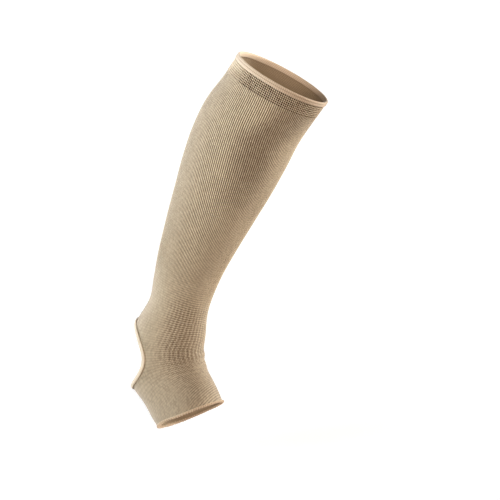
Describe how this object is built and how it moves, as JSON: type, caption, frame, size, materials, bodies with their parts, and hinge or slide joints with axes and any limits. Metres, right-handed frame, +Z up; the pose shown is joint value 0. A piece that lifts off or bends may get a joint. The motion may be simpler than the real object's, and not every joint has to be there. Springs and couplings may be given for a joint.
{
  "type": "open-toe compression stocking",
  "caption": "Below-knee elastic compression stocking with an open toe and an open heel, a hollow knit tube in the bent form that a striding right leg gives it.",
  "frame": {"origin": "centre of the ankle, inside the stocking, where the leg holds it", "axes": "+Z up, +X the way the wearer walks, +Y to the wearer's left, which is the inner side of this right leg; the shin leans 23 degrees forward from +Z towards +X"},
  "size_m": [0.2309, 0.1239, 0.449],
  "materials": {
    "elastic_knit": "matt ribbed elastic knit, beige",
    "mesh_knit": "matt open mesh knit, beige",
    "welt_knit": "smooth fine knit, cream",
    "binding_tape": "soft rolled tape, cream",
    "edging_thread": "overlocked thread, peach cream"
  },
  "bodies": {
    "root": {"top_welt": "welt_knit", "mesh_band": "mesh_knit", "calf_knit": "elastic_knit", "shank_knit": "elastic_knit", "foot_knit": "elastic_knit", "heel_binding": "binding_tape", "toe_edging": "edging_thread"}
  },
  "joints": []
}
